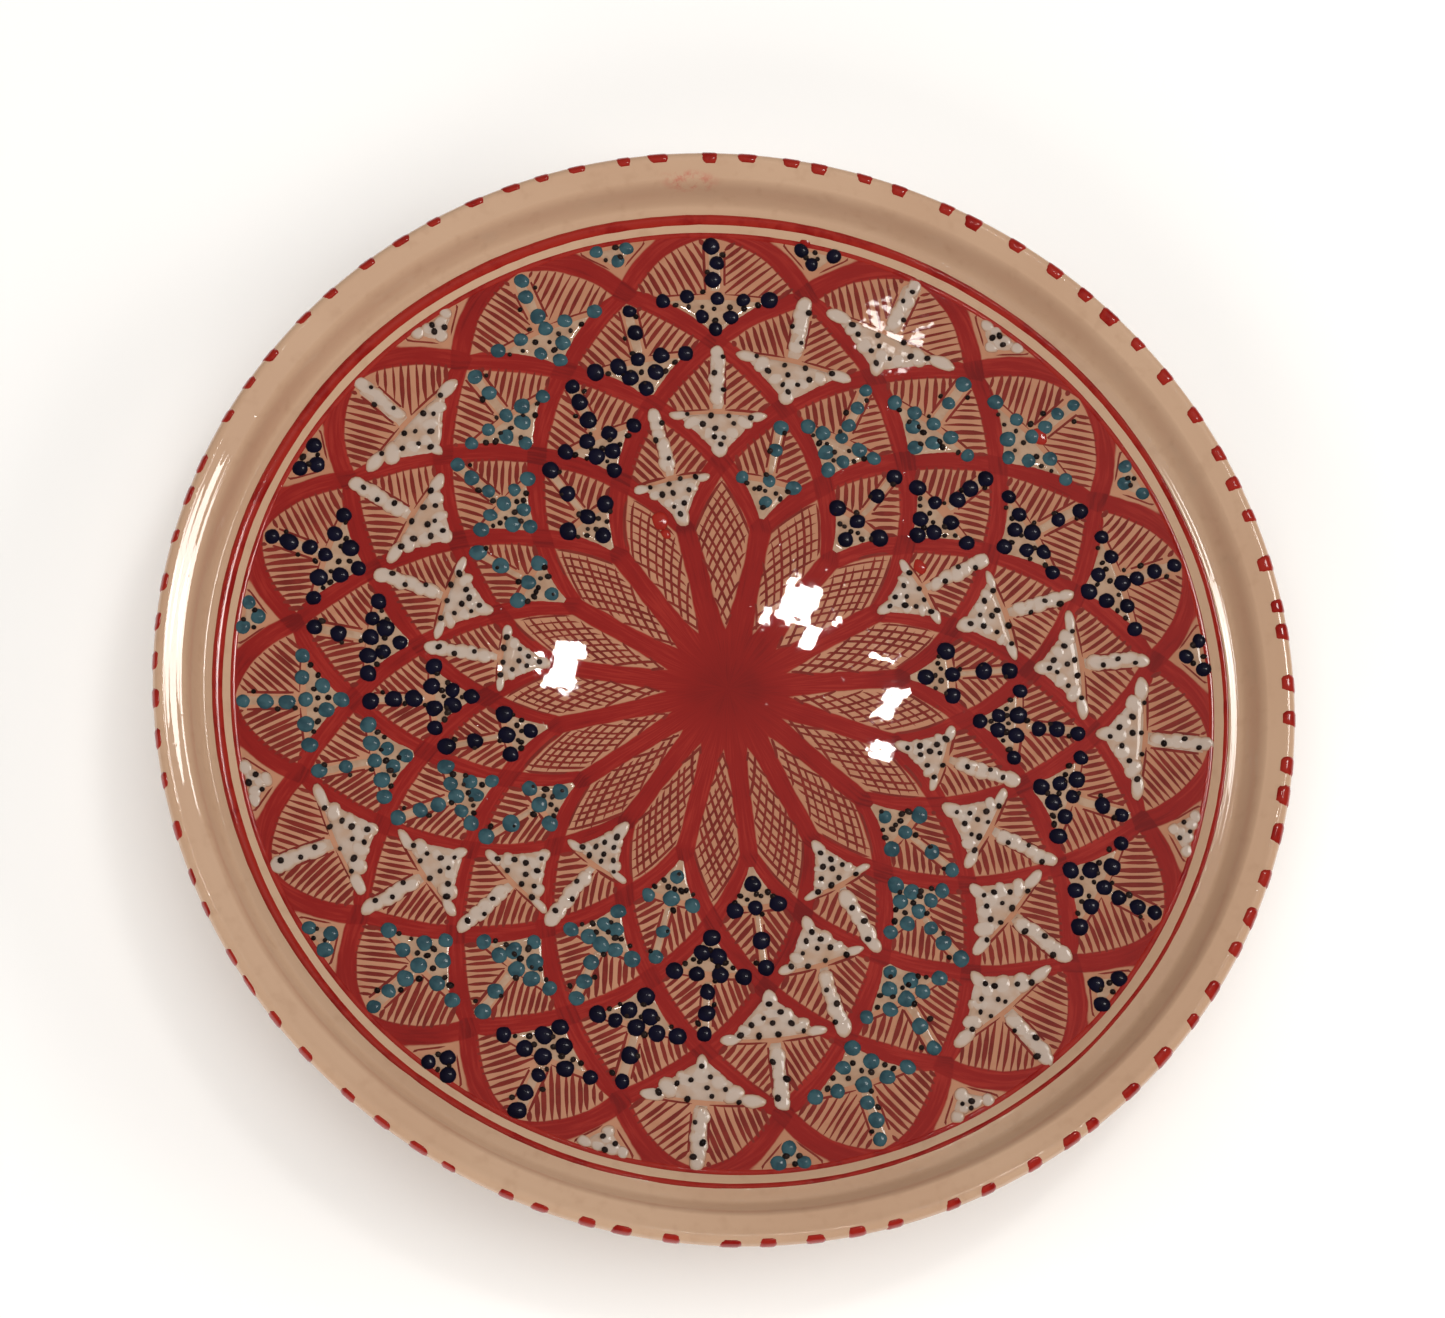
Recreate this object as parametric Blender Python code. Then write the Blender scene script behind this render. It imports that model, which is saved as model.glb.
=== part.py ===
# Hand painted ceramic plate: a thrown clay body on a foot ring, with raised slip decoration.
# Metres, +Z up. The origin is the centre of the foot's resting circle, and -Y is the side
# nearest to someone who looks at the plate.
import math
import random

import bmesh
import bpy
from mathutils import Matrix, Vector

MM = 0.001

# Driving dimensions of the thrown form
PLATE_HEIGHT = 33.0 * MM       # table to the crest of the lip
FLOOR_CENTRE = 15.5 * MM       # height of the painted floor in the middle
FLOOR_RISE = 6.2 * MM          # how much the floor climbs up to its edge
FLOOR_RADIUS = 121.9 * MM      # where the floor meets the rim
FLOOR_POWER = 2.2              # 2 would be a plain parabola
BASE_HEIGHT = 8.5 * MM         # underside of the floor above the table
FOOT_INNER = 71.0 * MM
FOOT_OUTER = 81.0 * MM
GAP = 0.3 * MM                 # between pieces that touch on the real plate
ROUND_STEPS = 64

# Rim section from the floor's edge to the crest of the lip: radius and height
RIM_SECTION = [(123.9, 22.8), (125.8, 23.5), (127.6, 23.2), (128.9, 23.7), (130.3, 26.0),
               (131.8, 28.8), (133.4, 30.7), (135.6, 32.2), (138.0, 33.0)]
LIP_SECTION = [(139.3, 32.5), (140.0, 31.2), (139.7, 29.8)]
UNDER_SECTION = [(137.2, 26.6), (132.0, 21.6), (124.0, 17.2), (110.0, 12.8), (96.0, 9.8),
                 (86.0, 8.5)]

# The painted lattice: sixteen arms, whose crossings step inward row by row
ARMS = 16
HALF_STEP = math.pi / ARMS
BORDER_RADIUS = 122.2 * MM
ROW_STEP = 14.0 * MM
ROW_GROWTH = 0.37 * MM         # each row is a little deeper than the one outside it
UMBRELLA_ROWS = 4
FIRST_ARM = math.radians(88.2)
ARM_COLOURS = ["navy", "white", "teal", "navy", "white", "navy", "white", "teal",
               "white", "navy", "teal", "white", "teal", "navy", "white", "teal"]
# The painter's spacing drifts round the plate; degrees for cosine, sine and double sine
DRIFT_COS, DRIFT_SIN, DRIFT_TWICE = -5.1, 3.1, -1.2

NAVY_DOT = 2.25 * MM
TEAL_DOT = 1.9 * MM
NAVY_HEIGHT = 0.9 * MM
TEAL_HEIGHT = 0.7 * MM
FILM_HEIGHT = 0.3 * MM         # ground of slip that carries the dots
PAD_HEIGHT = 0.5 * MM          # the white arms are laid thicker
STROKE_HEIGHT = 0.3 * MM
ROOTING = 0.1 * MM             # how deep a dot sits in its ground

# Where things sit inside one cell: sideways in half steps, inward in rows
STEM_HALF = 0.08
STEM_TOP = 0.2
EDGE_ROW = 1.2                 # straight outer edge of the umbrella
CORNER = 0.72
SECOND_ROW = 1.5
APEX_ROW = 1.76
TIP_ROW = 1.9
STEM_ROWS = [0.33, 0.64, 0.95]
EDGE_REACH = 0.58
EDGE_DOTS = {"navy": [5, 5, 4, 3], "teal": [5, 5, 5, 3]}
SPANDREL_SPOTS = [(-0.15, 0.33), (0.15, 0.33), (0.0, 0.62)]


def clear_scene():
    for item in list(bpy.data.objects):
        bpy.data.objects.remove(item, do_unlink=True)


def make_material(name, colour, roughness):
    material = bpy.data.materials.new(name)
    material.use_nodes = True
    shader = material.node_tree.nodes["Principled BSDF"]
    shader.inputs["Base Color"].default_value = (*colour, 1.0)
    shader.inputs["Roughness"].default_value = roughness
    shader.inputs["Metallic"].default_value = 0.0
    return material


def add_object(name, vertices, faces, material):
    mesh = bpy.data.meshes.new(name)
    mesh.from_pydata([tuple(point) for point in vertices], [], faces)
    mesh.materials.append(material)
    mesh.validate()
    mesh.shade_smooth()
    mesh.set_sharp_from_angle(angle=math.radians(35))
    node = bpy.data.objects.new(name, mesh)
    bpy.context.scene.collection.objects.link(node)
    return node


def on_circle(radius, height, turn):
    return Vector((radius * math.cos(turn), radius * math.sin(turn), height))


def floor_height(radius):
    return FLOOR_CENTRE + FLOOR_RISE * (radius / FLOOR_RADIUS) ** FLOOR_POWER


def floor_point(radius, turn, lift):
    # A point raised from the painted floor along the floor's own normal
    slope = FLOOR_RISE * FLOOR_POWER / FLOOR_RADIUS * (radius / FLOOR_RADIUS) ** (FLOOR_POWER - 1)
    length = math.hypot(1.0, slope)
    return on_circle(radius - lift * slope / length, floor_height(radius) + lift / length, turn)


def lathe(profile, steps, closed):
    # Turns a section about Z. An open section starts and ends on the axis; its first and
    # last points become poles. A closed section makes a ring.
    rings = profile if closed else profile[1:-1]
    vertices = [on_circle(r, z, 2 * math.pi * k / steps) for r, z in rings for k in range(steps)]
    faces = []
    spans = len(rings) if closed else len(rings) - 1
    for ring in range(spans):
        low, high = ring * steps, (ring + 1) % len(rings) * steps
        for k in range(steps):
            after = (k + 1) % steps
            faces.append((low + k, high + k, high + after, low + after))
    if not closed:
        top, bottom = len(vertices), len(vertices) + 1
        vertices += [Vector((0, 0, profile[0][1])), Vector((0, 0, profile[-1][1]))]
        last = (len(rings) - 1) * steps
        for k in range(steps):
            after = (k + 1) % steps
            faces.append((top, k, after))
            faces.append((bottom, last + after, last + k))
    return vertices, faces


def body_profile():
    floor = [(FLOOR_RADIUS * share, floor_height(FLOOR_RADIUS * share))
             for share in (0.0, 0.14, 0.28, 0.42, 0.56, 0.7, 0.82, 0.92, 1.0)]
    rim = [(r * MM, z * MM) for r, z in RIM_SECTION + LIP_SECTION + UNDER_SECTION]
    return floor + rim + [(0.0, BASE_HEIGHT)]


def make_body(material):
    vertices, faces = lathe(body_profile(), ROUND_STEPS, False)
    add_object("clay_body", vertices, faces, material)


def make_foot(material):
    # Tapered ring with softened lower edges and a flat resting face
    top = BASE_HEIGHT - GAP
    profile = [(FOOT_OUTER + 1.0 * MM, top), (FOOT_OUTER - 1.0 * MM, 1.2 * MM),
               (FOOT_OUTER - 2.2 * MM, 0.0), (FOOT_INNER + 2.2 * MM, 0.0),
               (FOOT_INNER + 1.0 * MM, 1.2 * MM), (FOOT_INNER - 1.0 * MM, top)]
    vertices, faces = lathe(profile, ROUND_STEPS, True)
    add_object("foot_ring", vertices, faces, material)


def painted_ring(name, section, material):
    # A brushed ring of slip: the section is (height line, offset line) on the clay
    lower = [(r, z + GAP) for r, z in section]
    upper = [(r, z + GAP + STROKE_HEIGHT) for r, z in section]
    vertices, faces = lathe(lower + upper[::-1], ROUND_STEPS, True)
    add_object(name, vertices, [face[::-1] for face in faces], material)


def make_rings(material):
    band = [(r * MM, z * MM) for r, z in ((123.9, 22.8), (125.8, 23.5), (126.4, 23.4))]
    painted_ring("red_band", band, material)
    border = [(r, floor_height(r)) for r in (120.7 * MM, 121.8 * MM)]
    painted_ring("border_ring", border, material)


def row_radius(row):
    return BORDER_RADIUS - ROW_STEP * row - ROW_GROWTH * row * row


def drifted(turn):
    drift = (DRIFT_COS * math.cos(turn) + DRIFT_SIN * math.sin(turn)
             + DRIFT_TWICE * math.sin(2 * turn))
    return turn + math.radians(drift)


def cell_point(turn, first_row, side, row, lift):
    # turn is the cell's own direction, side is in half steps and row counts inward
    return floor_point(row_radius(first_row + row), drifted(turn + side * HALF_STEP), lift)


def cell_turn(arm, row):
    # Arms run clockwise from the far side, and move half a step the other way each row
    return FIRST_ARM - 2 * arm * HALF_STEP + row * HALF_STEP


def spandrel_outline():
    # The small field between two arches, in its own cell's sideways measure
    return [(-0.07, 0.74), (-0.34, STEM_TOP), (0.34, STEM_TOP), (0.05, 0.68)]


def arm_outline(row):
    # One umbrella's edge as (row, side, depth). It grows out of the corner of the umbrella
    # before it, so that a whole arm is one field.
    near = [(row, -STEM_HALF, STEM_TOP), (row, STEM_HALF, STEM_TOP),
            (row, STEM_HALF, EDGE_ROW - 0.06), (row, CORNER, EDGE_ROW - 0.05)]
    inner = arm_outline(row + 1) if row + 1 < UMBRELLA_ROWS else []
    far = [(row, CORNER, EDGE_ROW + 0.06), (row, 0.05, TIP_ROW), (row, -0.05, TIP_ROW),
           (row, -CORNER, EDGE_ROW + 0.06)]
    if row == 0:
        far += [(0, side - 1.0, depth) for side, depth in spandrel_outline()]
    far += [(row, -CORNER + 0.08, EDGE_ROW - 0.05), (row, -STEM_HALF, EDGE_ROW - 0.06)]
    if row > 0:
        far.append((row, -STEM_HALF, STEM_TOP + 0.12))
    return near + inner + far


def make_ground(name, arm, height, material):
    # The arm's ground: its outline twice, low and high, with sides between
    lower, upper = [], []
    for row, side, depth in arm_outline(0):
        turn = cell_turn(arm, row)
        lower.append(cell_point(turn, row, side, depth, GAP))
        upper.append(cell_point(turn, row, side, depth, GAP + height))
    count = len(lower)
    faces = [(k, (k + 1) % count, count + (k + 1) % count, count + k) for k in range(count)]
    faces.append(tuple(reversed(range(count))))
    faces.append(tuple(range(count, 2 * count)))
    ground = add_object(name, lower + upper, faces, material)
    shape = bmesh.new()
    shape.from_mesh(ground.data)
    bmesh.ops.triangulate(shape, faces=shape.faces)
    shape.to_mesh(ground.data)
    shape.free()
    return ground


def surface_frame(point):
    radius = math.hypot(point.x, point.y)
    slope = FLOOR_RISE * FLOOR_POWER / FLOOR_RADIUS * (radius / FLOOR_RADIUS) ** (FLOOR_POWER - 1)
    normal = Vector((-slope * point.x / radius, -slope * point.y / radius, 1.0)).normalized()
    tilt = Vector((0, 0, 1)).rotation_difference(normal)
    return Matrix.Translation(point) @ tilt.to_matrix().to_4x4()


def add_drop(shape, point, radius, height, spin):
    # A drop of slip as a low cone, rooted in the ground
    vertices, faces = shape
    frame = surface_frame(point)
    start, sides = len(vertices), 5
    for k in range(sides):
        vertices.append(frame @ on_circle(radius, -ROOTING, spin + 2 * math.pi * k / sides))
    vertices.append(frame @ Vector((0, 0, height)))
    for k in range(sides):
        faces.append((start + k, start + (k + 1) % sides, start + sides))
    faces.append(tuple(start + k for k in reversed(range(sides))))


def place_drops(shape, spots, turn, row, size, height, rng):
    taken = []
    for side, depth in spots:
        radius = size * rng.uniform(0.9, 1.06)
        point = cell_point(turn, row, side + rng.uniform(-0.02, 0.02),
                           depth + rng.uniform(-0.03, 0.03), GAP + FILM_HEIGHT)
        if all((point - other).length > radius + reach + GAP for other, reach in taken):
            add_drop(shape, point, radius, height, rng.uniform(0, 1.2))
            taken.append((point, radius))


def umbrella_spots(colour, row):
    count = EDGE_DOTS[colour][row]
    edge = [(EDGE_REACH * (2 * k / (count - 1) - 1), EDGE_ROW) for k in range(count)]
    innermost = row == UMBRELLA_ROWS - 1
    second = [(0.0, SECOND_ROW + 0.1)] if innermost else [(-0.18, SECOND_ROW), (0.18, SECOND_ROW)]
    return [(0.0, depth) for depth in STEM_ROWS] + edge + second + [(0.0, APEX_ROW)]


def make_dotted_arm(name, arm, colour, size, height, material, rng):
    ground = make_ground(name, arm, FILM_HEIGHT, material)
    shape = ([], [])
    for row in range(UMBRELLA_ROWS):
        spots = umbrella_spots(colour, row)
        place_drops(shape, spots, cell_turn(arm, row), row, size, height, rng)
    place_drops(shape, SPANDREL_SPOTS, cell_turn(arm, 0) - HALF_STEP, 0, size, height, rng)
    drops = add_object(name + "_drops", *shape, material)
    drops.hide_render = True
    drops.display_type = "WIRE"
    union = ground.modifiers.new("drops", "BOOLEAN")
    union.operation = "UNION"
    union.object = drops


def make_arms():
    rng = random.Random(7)
    navy = make_material("navy_slip", (0.012, 0.012, 0.035), 0.1)
    teal = make_material("teal_slip", (0.045, 0.13, 0.16), 0.15)
    white = make_material("white_slip", (0.66, 0.55, 0.46), 0.2)
    for arm, colour in enumerate(ARM_COLOURS):
        name = f"{colour}_arm_{arm + 1:02d}"
        if colour == "white":
            make_ground(name, arm, PAD_HEIGHT, white)
        elif colour == "navy":
            make_dotted_arm(name, arm, colour, NAVY_DOT, NAVY_HEIGHT, navy, rng)
        else:
            make_dotted_arm(name, arm, colour, TEAL_DOT, TEAL_HEIGHT, teal, rng)


def main():
    clear_scene()
    make_body(make_material("cream_glaze", (0.56, 0.37, 0.22), 0.12))
    make_foot(make_material("bare_clay", (0.48, 0.27, 0.16), 0.75))
    make_rings(make_material("red_slip", (0.36, 0.02, 0.015), 0.15))
    make_arms()


main()
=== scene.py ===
# Hand painted ceramic plate: the finished look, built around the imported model.
# The frame is in metres with +Z up, and -Y is close to the side nearest to the viewer.
import math
import random

import bmesh
import bpy
from mathutils import Matrix, Vector, noise


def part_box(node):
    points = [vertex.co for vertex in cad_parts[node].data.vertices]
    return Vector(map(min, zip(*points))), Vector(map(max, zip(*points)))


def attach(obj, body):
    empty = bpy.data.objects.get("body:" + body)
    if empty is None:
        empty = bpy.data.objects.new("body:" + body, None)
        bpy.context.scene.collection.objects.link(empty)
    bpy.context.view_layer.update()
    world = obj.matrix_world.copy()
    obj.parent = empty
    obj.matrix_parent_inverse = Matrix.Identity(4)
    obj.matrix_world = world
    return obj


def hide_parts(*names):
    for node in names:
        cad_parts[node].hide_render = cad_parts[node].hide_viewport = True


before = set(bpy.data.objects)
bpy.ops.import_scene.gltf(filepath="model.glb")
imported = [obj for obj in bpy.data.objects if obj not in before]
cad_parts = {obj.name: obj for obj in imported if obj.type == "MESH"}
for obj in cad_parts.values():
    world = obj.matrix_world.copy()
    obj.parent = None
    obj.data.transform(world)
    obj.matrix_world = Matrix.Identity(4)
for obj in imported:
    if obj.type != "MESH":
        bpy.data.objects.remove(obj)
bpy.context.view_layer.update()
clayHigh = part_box("clay_body")[1]
footLow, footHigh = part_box("foot_ring")
print("frame loaded:", len(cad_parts), "nodes")

# The thrown form is drawn in millimetres; mm turns the drawing into the frame's metres
mm = clayHigh.x / 140.0

plateForm = {
    "floorCentre": 15.5, "floorRise": 6.2, "floorRadius": 121.9, "floorPower": 2.2,
    "shoulder": [(123.9, 22.8), (125.6, 23.3), (127.5, 23.38), (128.9, 23.8), (130.2, 26.2),
                 (131.5, 29.7), (132.6, 31.35), (133.8, 31.8), (135.9, 32.33), (138.0, 32.85)],
    "lip": [(139.3, 32.5), (140.0, 31.2), (139.7, 29.8)],
    "underside": [(137.2, 26.6), (132.0, 21.6), (124.0, 17.2), (110.0, 12.8), (96.0, 9.8),
                  (86.0, 8.5), (60.0, 8.4), (30.0, 8.5)],
    "baseHeight": 8.5,
    "turnSteps": 256,
    "handWobble": 0.16,          # how far the lip wanders from a true circle
}

# The painted net: rows step inward from the border, arms go round
net = {
    "arms": 16, "borderRadius": 122.2, "rowStep": 14.0, "rowGrowth": 0.37,
    "firstArm": math.radians(88.2), "petalRow": 5.0, "hubFrom": 6.35, "hubFull": 6.6,
    "driftCos": -5.1, "driftSin": 3.1, "driftTwice": -1.2,       # degrees
    "archPower": 0.54, "armHalfWidth": 2.4, "umbrellaRows": 4,
    "colours": ["navy", "white", "teal", "navy", "white", "navy", "white", "teal",
                "white", "navy", "teal", "white", "teal", "navy", "white", "teal"],
}
halfStep = math.pi / net["arms"]


# ---- small helpers for meshes, trees and finishes

def newObject(name, vertices, faces, edges=(), material=None):
    mesh = bpy.data.meshes.new(name)
    mesh.from_pydata([tuple(Vector(point) * mm) for point in vertices], list(edges), faces)
    mesh.validate()
    if material:
        mesh.materials.append(material)
    mesh.shade_smooth()
    piece = bpy.data.objects.new(name, mesh)
    bpy.context.scene.collection.objects.link(piece)
    return piece


def giveAttribute(piece, name, kind, values):
    attribute = piece.data.attributes.new(name, kind, "POINT")
    if kind == "FLOAT":
        attribute.data.foreach_set("value", values)
    else:
        attribute.data.foreach_set("vector", [part for value in values for part in value])


def addNode(tree, kind, inputs=None, **settings):
    made = tree.nodes.new(kind)
    for name, value in settings.items():
        setattr(made, name, value)
    for name, value in (inputs or {}).items():
        socket = made.inputs[name]
        if isinstance(value, bpy.types.NodeSocket):
            tree.links.new(value, socket)
        else:
            socket.default_value = value
    return made


def maths(tree, operation, first, second=0.0, third=0.0, clamp=False):
    made = addNode(tree, "ShaderNodeMath", {0: first, 1: second, 2: third},
                   operation=operation, use_clamp=clamp)
    return made.outputs[0]


def ramp(tree, value, low, high, bottom=0.0, top=1.0):
    # Smooth step from bottom to top as the value goes from low to high
    made = addNode(tree, "ShaderNodeMapRange", {"Value": value, "From Min": low, "From Max": high,
                                                "To Min": bottom, "To Max": top},
                   interpolation_type="SMOOTHSTEP")
    return made.outputs["Result"]


def blendColour(tree, share, first, second):
    made = addNode(tree, "ShaderNodeMix", data_type="RGBA")
    for index, value in ((0, share), (6, first), (7, second)):
        if isinstance(value, bpy.types.NodeSocket):
            tree.links.new(value, made.inputs[index])
        else:
            made.inputs[index].default_value = value if index == 0 else (*value, 1.0)
    return made.outputs[2]


def noiseValue(tree, vector, scale, detail=2.0, roughness=0.5):
    made = addNode(tree, "ShaderNodeTexNoise", {"Vector": vector, "Scale": scale, "Detail": detail,
                                                "Roughness": roughness})
    return made.outputs["Fac"]


def treeInput(tree, name, kind, value=None):
    socket = tree.interface.new_socket(name, in_out="INPUT", socket_type=kind)
    if value is not None:
        socket.default_value = value


def runTree(piece, tree, values):
    # Runs a tree on the piece and keeps the result as a plain mesh
    modifier = piece.modifiers.new(tree.name, "NODES")
    modifier.node_group = tree
    for socket in tree.interface.items_tree:
        if socket.item_type == "SOCKET" and socket.name in values:
            modifier[socket.identifier] = values[socket.name]
    bpy.context.view_layer.update()
    evaluated = piece.evaluated_get(bpy.context.evaluated_depsgraph_get())
    mesh = bpy.data.meshes.new_from_object(evaluated)
    piece.modifiers.clear()
    piece.data = mesh
    return piece


def joinPieces(name, pieces):
    with bpy.context.temp_override(active_object=pieces[0], selected_editable_objects=pieces):
        bpy.ops.object.join()
    pieces[0].name = name
    pieces[0].data.name = name
    return pieces[0]


def rideRoot(piece, slotName, *nodes):
    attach(piece, "root")
    if nodes:
        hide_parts(*nodes)


# ---- glaze and slip finishes

finish = {
    "cream": (0.445, 0.282, 0.184), "creamDeep": (0.37, 0.222, 0.138),
    "creamPale": (0.475, 0.312, 0.208),
    "wellCream": (0.360, 0.162, 0.090), "wellPale": (0.395, 0.187, 0.108),
    "wellDeep": (0.30, 0.118, 0.060),
    "red": (0.205, 0.0045, 0.0025), "redDeep": (0.122, 0.0015, 0.0010),
    "redThin": (0.265, 0.014, 0.008),
    "hatch": (0.172, 0.015, 0.009), "hatchDeep": (0.125, 0.010, 0.006),
    "navy": (0.0035, 0.0030, 0.0120), "navyDeep": (0.002, 0.0015, 0.007),
    "teal": (0.032, 0.078, 0.094), "tealDeep": (0.016, 0.043, 0.056),
    "ground": (0.365, 0.238, 0.160), "groundDeep": (0.31, 0.185, 0.117),
    "milk": (0.405, 0.322, 0.270), "blush": (0.355, 0.228, 0.155),
    "milkEdge": (0.28, 0.105, 0.080),
    "black": (0.006, 0.003, 0.003), "blackDeep": (0.02, 0.012, 0.01),
    "clay": (0.46, 0.27, 0.16), "clayDeep": (0.34, 0.18, 0.10),
}


def glossyMaterial(name, roughness, coat):
    # A fired glaze: a body under a clear coat. Returns the material, its tree and shader.
    material = bpy.data.materials.new(name)
    material.use_nodes = True
    tree = material.node_tree
    shader = tree.nodes["Principled BSDF"]
    shader.inputs["Roughness"].default_value = roughness
    shader.inputs["Coat Weight"].default_value = coat
    shader.inputs["Specular IOR Level"].default_value = 0.15
    shader.inputs["Coat Roughness"].default_value = 0.008
    shader.inputs["Coat IOR"].default_value = 1.5
    return material, tree, shader


def objectPoint(tree):
    return addNode(tree, "ShaderNodeTexCoord").outputs["Object"]


def floorNormal(tree, point):
    # The painted floor's own normal, for paint that lies level under the glaze
    parts = addNode(tree, "ShaderNodeSeparateXYZ", {"Vector": point})
    flat = addNode(tree, "ShaderNodeCombineXYZ", {"X": parts.outputs["X"], "Y": parts.outputs["Y"]})
    reach = addNode(tree, "ShaderNodeVectorMath", {0: flat.outputs[0]}, operation="LENGTH")
    radius = maths(tree, "MAXIMUM", reach.outputs["Value"], 0.0001)
    power, edge = plateForm["floorPower"], plateForm["floorRadius"] * mm
    steep = maths(tree, "POWER", maths(tree, "DIVIDE", radius, edge), power - 1)
    slope = maths(tree, "MULTIPLY", steep, plateForm["floorRise"] * power / plateForm["floorRadius"])
    lean = maths(tree, "DIVIDE", slope, maths(tree, "MULTIPLY", radius, -1.0))
    normal = addNode(tree, "ShaderNodeCombineXYZ", {
        "X": maths(tree, "MULTIPLY", parts.outputs["X"], lean),
        "Y": maths(tree, "MULTIPLY", parts.outputs["Y"], lean), "Z": 1.0})
    return addNode(tree, "ShaderNodeVectorMath", {0: normal.outputs[0]}, operation="NORMALIZE").outputs[0]


def glazeSkin(tree, shader, point, peel=0.35, pricks=0.8, normal=None):
    # Orange peel and pin pricks of the fired glaze, as a very shallow relief
    height = noiseValue(tree, point, 150.0, 2.0, 0.5)
    if pricks:
        cells = addNode(tree, "ShaderNodeTexVoronoi", {"Vector": point, "Scale": 190.0,
                                                       "Randomness": 1.0})
        pit = ramp(tree, cells.outputs["Distance"], 0.03, 0.10, -pricks, 0.0)
        height = maths(tree, "ADD", height, pit)
    bump = addNode(tree, "ShaderNodeBump", {"Height": height, "Strength": peel,
                                            "Distance": 0.000012})
    if normal:
        tree.links.new(normal, bump.inputs["Normal"])
    tree.links.new(bump.outputs["Normal"], shader.inputs["Normal"])
    tree.links.new(bump.outputs["Normal"], shader.inputs["Coat Normal"])


def creamTone(tree, point, pale, plain, deep):
    broad = noiseValue(tree, point, 14.0, 3.0)
    fine = noiseValue(tree, point, 260.0, 2.0)
    tone = blendColour(tree, ramp(tree, broad, 0.35, 0.65), finish[pale], finish[plain])
    return blendColour(tree, ramp(tree, fine, 0.52, 0.78, 0.0, 0.35), tone, finish[deep])


smear = {"place": (-0.0096, 0.1325, 0.0295), "size": (0.0095, 0.0030, 0.006), "strength": 0.7,
         "colour": (0.43, 0.105, 0.075)}


def creamGlaze():
    material, tree, shader = glossyMaterial("creamGlaze", 0.32, 0.9)
    point = objectPoint(tree)
    tone = creamTone(tree, point, "creamPale", "cream", "creamDeep")
    # A faint thumb smear of red on the far side of the lip
    away = addNode(tree, "ShaderNodeVectorMath", {0: point, 1: smear["place"]}, operation="SUBTRACT")
    sized = addNode(tree, "ShaderNodeVectorMath", {0: away.outputs[0], 1: smear["size"]},
                    operation="DIVIDE")
    reach = addNode(tree, "ShaderNodeVectorMath", {0: sized.outputs[0]}, operation="LENGTH")
    blot = maths(tree, "MULTIPLY", ramp(tree, reach.outputs["Value"], 0.4, 1.0, 1.0, 0.0),
                 ramp(tree, noiseValue(tree, point, 380.0, 3.0, 0.7), 0.42, 0.66, 0.0, smear["strength"]))
    tree.links.new(blendColour(tree, blot, tone, smear["colour"]), shader.inputs["Base Color"])
    glazeSkin(tree, shader, point, 0.35, 3.0)
    return material


def redTone(tree, density):
    # Thin slip is orange red, pooled slip is deep
    thin = blendColour(tree, ramp(tree, density, 0.15, 0.5), finish["redThin"], finish["red"])
    return blendColour(tree, ramp(tree, density, 0.55, 1.0), thin, finish["redDeep"])


def redSlip():
    material, tree, shader = glossyMaterial("redSlip", 0.35, 0.8)
    point = objectPoint(tree)
    density = ramp(tree, noiseValue(tree, point, 150.0, 3.0, 0.6), 0.3, 1.0)
    tree.links.new(redTone(tree, density), shader.inputs["Base Color"])
    glazeSkin(tree, shader, point, 0.2, 0.0)
    return material


def hatchSlip():
    # The fine brush lines are thinner paint, so the cream shows through them
    material, tree, shader = glossyMaterial("hatchSlip", 0.35, 0.8)
    point = objectPoint(tree)
    density = ramp(tree, noiseValue(tree, point, 190.0, 3.0, 0.6), 0.3, 0.7)
    tone = blendColour(tree, density, finish["hatch"], finish["hatchDeep"])
    tree.links.new(tone, shader.inputs["Base Color"])
    glazeSkin(tree, shader, point, normal=floorNormal(tree, point))
    return material


def armCover(tree, across, gap, halfWidth, edge):
    # 1 inside an arm's line, 0 outside it; across counts arms and gap is their spacing
    distance = maths(tree, "MULTIPLY", maths(tree, "PINGPONG", across, 0.5), gap)
    beyond = maths(tree, "SUBTRACT", maths(tree, "ADD", distance, edge), halfWidth)
    return ramp(tree, beyond, -0.22, 0.22, 1.0, 0.0)


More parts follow.
